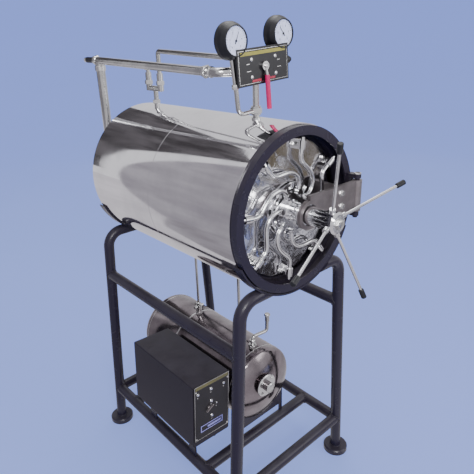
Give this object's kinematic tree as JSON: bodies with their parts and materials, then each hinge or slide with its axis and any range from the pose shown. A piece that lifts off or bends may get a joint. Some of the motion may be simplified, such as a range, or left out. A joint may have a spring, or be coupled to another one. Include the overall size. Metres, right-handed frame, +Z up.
{
  "type": "horizontal autoclave",
  "caption": "Horizontal steam autoclave: polished cylindrical vessel with a round radial-locking door, under-slung boiler and control box, and gauges and valves on top, on a tubular stand.",
  "frame": {"origin": "on the floor, under the middle of the whole machine", "axes": "+Z up, +Y along the vessel away from the door, +X to the right as the door is faced"},
  "size_m": [0.6839, 1.1886, 1.725],
  "materials": {
    "black_paint": "gloss",
    "box_paint": "satin",
    "panel_face": "satin",
    "valve_face": "satin",
    "polished_cladding": "polished",
    "chamber_steel": "satin",
    "polished_door": "mirror",
    "hinge_steel": "satin",
    "gasket_rubber": "matt",
    "black_plastic": "gloss",
    "boiler_steel": "satin",
    "chrome_pipe": "bright",
    "grip_plastic": "gloss"
  },
  "bodies": {
    "vessel": {"boiler": "boiler_steel", "brace_lower_left": "black_paint", "brace_lower_right": "black_paint", "brace_upper_left": "black_paint", "brace_upper_right": "black_paint", "chamber": "chamber_steel", "cladding": "polished_cladding", "condensate_pipe": "chrome_pipe", "control_box": "box_paint", "control_panel": "panel_face", "door_gasket": "gasket_rubber", "door_ring": "black_paint", "down_pipe": "chrome_pipe", "exhaust_pipe": "chrome_pipe", "gauge_feed": "chrome_pipe", "gauge_left": "black_plastic", "gauge_line": "chrome_pipe", "gauge_right": "black_plastic", "heater_cover": "boiler_steel", "hinge_bracket": "black_paint", "leg_front_left": "black_paint", "leg_front_right": "black_paint", "leg_rear_left": "black_paint", "leg_rear_right": "black_paint", "nozzle_sleeve": "black_plastic", "rail_lower_front": "black_paint", "rail_lower_rear": "black_paint", "rail_mid_front": "black_paint", "rail_mid_rear": "black_paint", "rear_cover": "polished_cladding", "saddle_front": "black_paint", "saddle_rear": "black_paint", "safety_valves": "chrome_pipe", "steam_feed": "chrome_pipe", "valve_plate": "valve_face", "water_inlet": "chrome_pipe"},
    "door": {"door_plate": "polished_door", "hinge_arm": "hinge_steel"},
    "handle": {"handle": "polished_door", "handle_knob_1": "black_plastic", "handle_knob_2": "black_plastic", "handle_knob_3": "black_plastic", "handle_knob_4": "black_plastic"},
    "selector": {"selector_lever": "chrome_pipe", "lever_grip": "grip_plastic"},
    "bolt_1": {"locking_arm_1": "polished_door"},
    "bolt_2": {"locking_arm_2": "polished_door"},
    "bolt_3": {"locking_arm_3": "polished_door"},
    "bolt_4": {"locking_arm_4": "polished_door"},
    "bolt_5": {"locking_arm_5": "polished_door"},
    "bolt_6": {"locking_arm_6": "polished_door"},
    "bolt_7": {"locking_arm_7": "polished_door"},
    "bolt_8": {"locking_arm_8": "polished_door"}
  },
  "joints": [
    {"name": "door_swing", "type": "hinge", "parent": "vessel", "child": "door", "pos_m": [0.243, -0.426, 1.164], "axis": [0, 0, 1], "range_deg": [0, 110]},
    {"name": "handle_turn", "type": "hinge", "parent": "door", "child": "handle", "pos_m": [0, -0.492, 1.164], "axis": [0, 1, 0], "range_deg": [0, 32]},
    {"name": "selector_turn", "type": "hinge", "parent": "vessel", "child": "selector", "pos_m": [0, -0.252, 1.586], "axis": [0, 1, 0], "range_deg": [-60, 60]},
    {"name": "bolt_slide_1", "type": "slide", "parent": "door", "child": "bolt_1", "axis": [0.1219, 0, 0.9925], "range_m": [0, 0.018]},
    {"name": "bolt_slide_2", "type": "slide", "parent": "door", "child": "bolt_2", "axis": [-0.6157, 0, 0.788], "range_m": [0, 0.018]},
    {"name": "bolt_slide_3", "type": "slide", "parent": "door", "child": "bolt_3", "axis": [-0.9925, 0, 0.1219], "range_m": [0, 0.018]},
    {"name": "bolt_slide_4", "type": "slide", "parent": "door", "child": "bolt_4", "axis": [-0.788, 0, -0.6157], "range_m": [0, 0.018]},
    {"name": "bolt_slide_5", "type": "slide", "parent": "door", "child": "bolt_5", "axis": [-0.1219, 0, -0.9925], "range_m": [0, 0.018]},
    {"name": "bolt_slide_6", "type": "slide", "parent": "door", "child": "bolt_6", "axis": [0.6157, 0, -0.788], "range_m": [0, 0.018]},
    {"name": "bolt_slide_7", "type": "slide", "parent": "door", "child": "bolt_7", "axis": [0.9925, 0, -0.1219], "range_m": [0, 0.018]},
    {"name": "bolt_slide_8", "type": "slide", "parent": "door", "child": "bolt_8", "axis": [0.788, 0, 0.6157], "range_m": [0, 0.018]}
  ],
  "couplings": [
    {"joint": "bolt_slide_1", "follows": "handle_turn", "m_per_rad": 0.032229},
    {"joint": "bolt_slide_2", "follows": "handle_turn", "m_per_rad": 0.032229},
    {"joint": "bolt_slide_3", "follows": "handle_turn", "m_per_rad": 0.032229},
    {"joint": "bolt_slide_4", "follows": "handle_turn", "m_per_rad": 0.032229},
    {"joint": "bolt_slide_5", "follows": "handle_turn", "m_per_rad": 0.032229},
    {"joint": "bolt_slide_6", "follows": "handle_turn", "m_per_rad": 0.032229},
    {"joint": "bolt_slide_7", "follows": "handle_turn", "m_per_rad": 0.032229},
    {"joint": "bolt_slide_8", "follows": "handle_turn", "m_per_rad": 0.032229}
  ]
}
